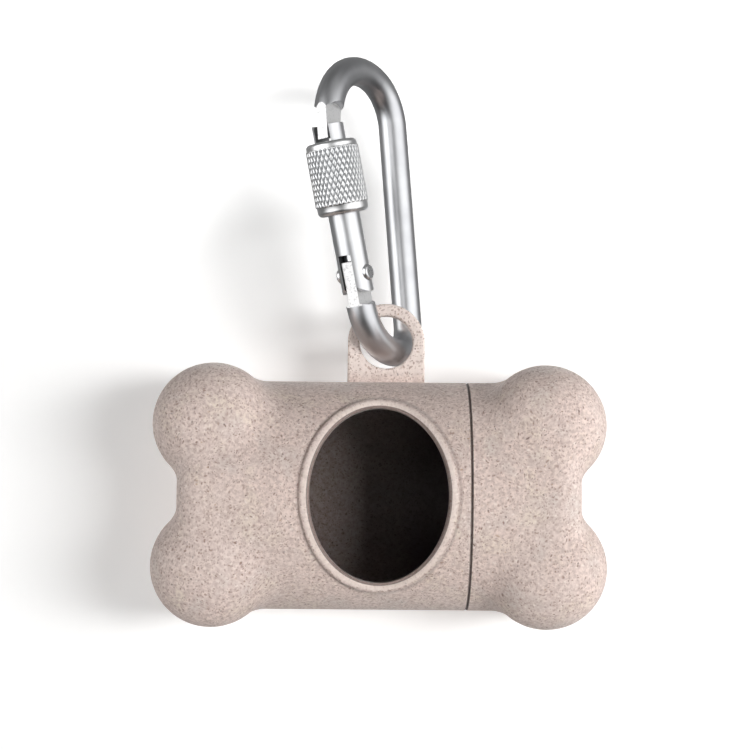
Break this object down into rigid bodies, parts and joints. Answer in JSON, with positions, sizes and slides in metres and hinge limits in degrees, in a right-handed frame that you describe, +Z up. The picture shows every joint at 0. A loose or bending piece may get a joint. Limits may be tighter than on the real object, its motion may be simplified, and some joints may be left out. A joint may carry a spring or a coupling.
{
  "type": "dog poop bag dispenser",
  "caption": "Bone-shaped dispenser for a roll of dog waste bags, with a screw-on end cap, an oval window and a screw-lock carabiner through its eye.",
  "frame": {"origin": "inside of the carabiner's top bow, where a ring or strap bears", "axes": "+Z up as it hangs, +X along the bone towards the end cap, -Y the side with the window"},
  "size_m": [0.0816, 0.0429, 0.1063],
  "materials": {
    "fibre_plastic": "matt, speckled with straw fibre",
    "bar_metal": "satin anodised",
    "gate_metal": "satin anodised",
    "sleeve_metal": "knurled, satin",
    "pin_steel": "plain",
    "spring_steel": "plain"
  },
  "bodies": {
    "carabiner": {"carabiner_frame": "bar_metal"},
    "dispenser": {"dispenser_body": "fibre_plastic"},
    "cap": {"end_cap": "fibre_plastic"},
    "gate_arm": {"gate": "gate_metal", "gate_rivet": "pin_steel", "gate_spring": "spring_steel"},
    "plunger": {"spring_plunger": "pin_steel"},
    "sleeve": {"lock_sleeve": "sleeve_metal"}
  },
  "joints": [
    {"name": "dispenser_swing", "type": "hinge", "parent": "carabiner", "child": "dispenser", "pos_m": [0.00492, 0.0004, -0.04997], "axis": [0, -1, 0], "range_deg": [-30, 25]},
    {"name": "cap_pull", "type": "slide", "parent": "dispenser", "child": "cap", "axis": [1, 0, 0], "range_m": [0, 0.04]},
    {"name": "gate_hinge", "type": "hinge", "parent": "carabiner", "child": "gate_arm", "pos_m": [-0.00091, -0.00694, -0.03681], "axis": [-0.8454, 0.5283, -0.0788], "range_deg": [0, 28], "stiffness_Nm_per_rad": 0.01, "springref_deg": -28.65},
    {"name": "plunger_slide", "type": "slide", "parent": "gate_arm", "child": "plunger", "axis": [-0.1899, -0.1594, 0.9688], "range_m": [0, 0.00102], "deforming": ["gate_spring"]},
    {"name": "sleeve_screw", "type": "slide", "parent": "gate_arm", "child": "sleeve", "axis": [-0.1899, -0.1594, 0.9688], "range_m": [-0.006, 0.0034]}
  ],
  "couplings": [
    {"joint": "plunger_slide", "follows": "gate_hinge", "m_per_rad": 0.0020463}
  ]
}
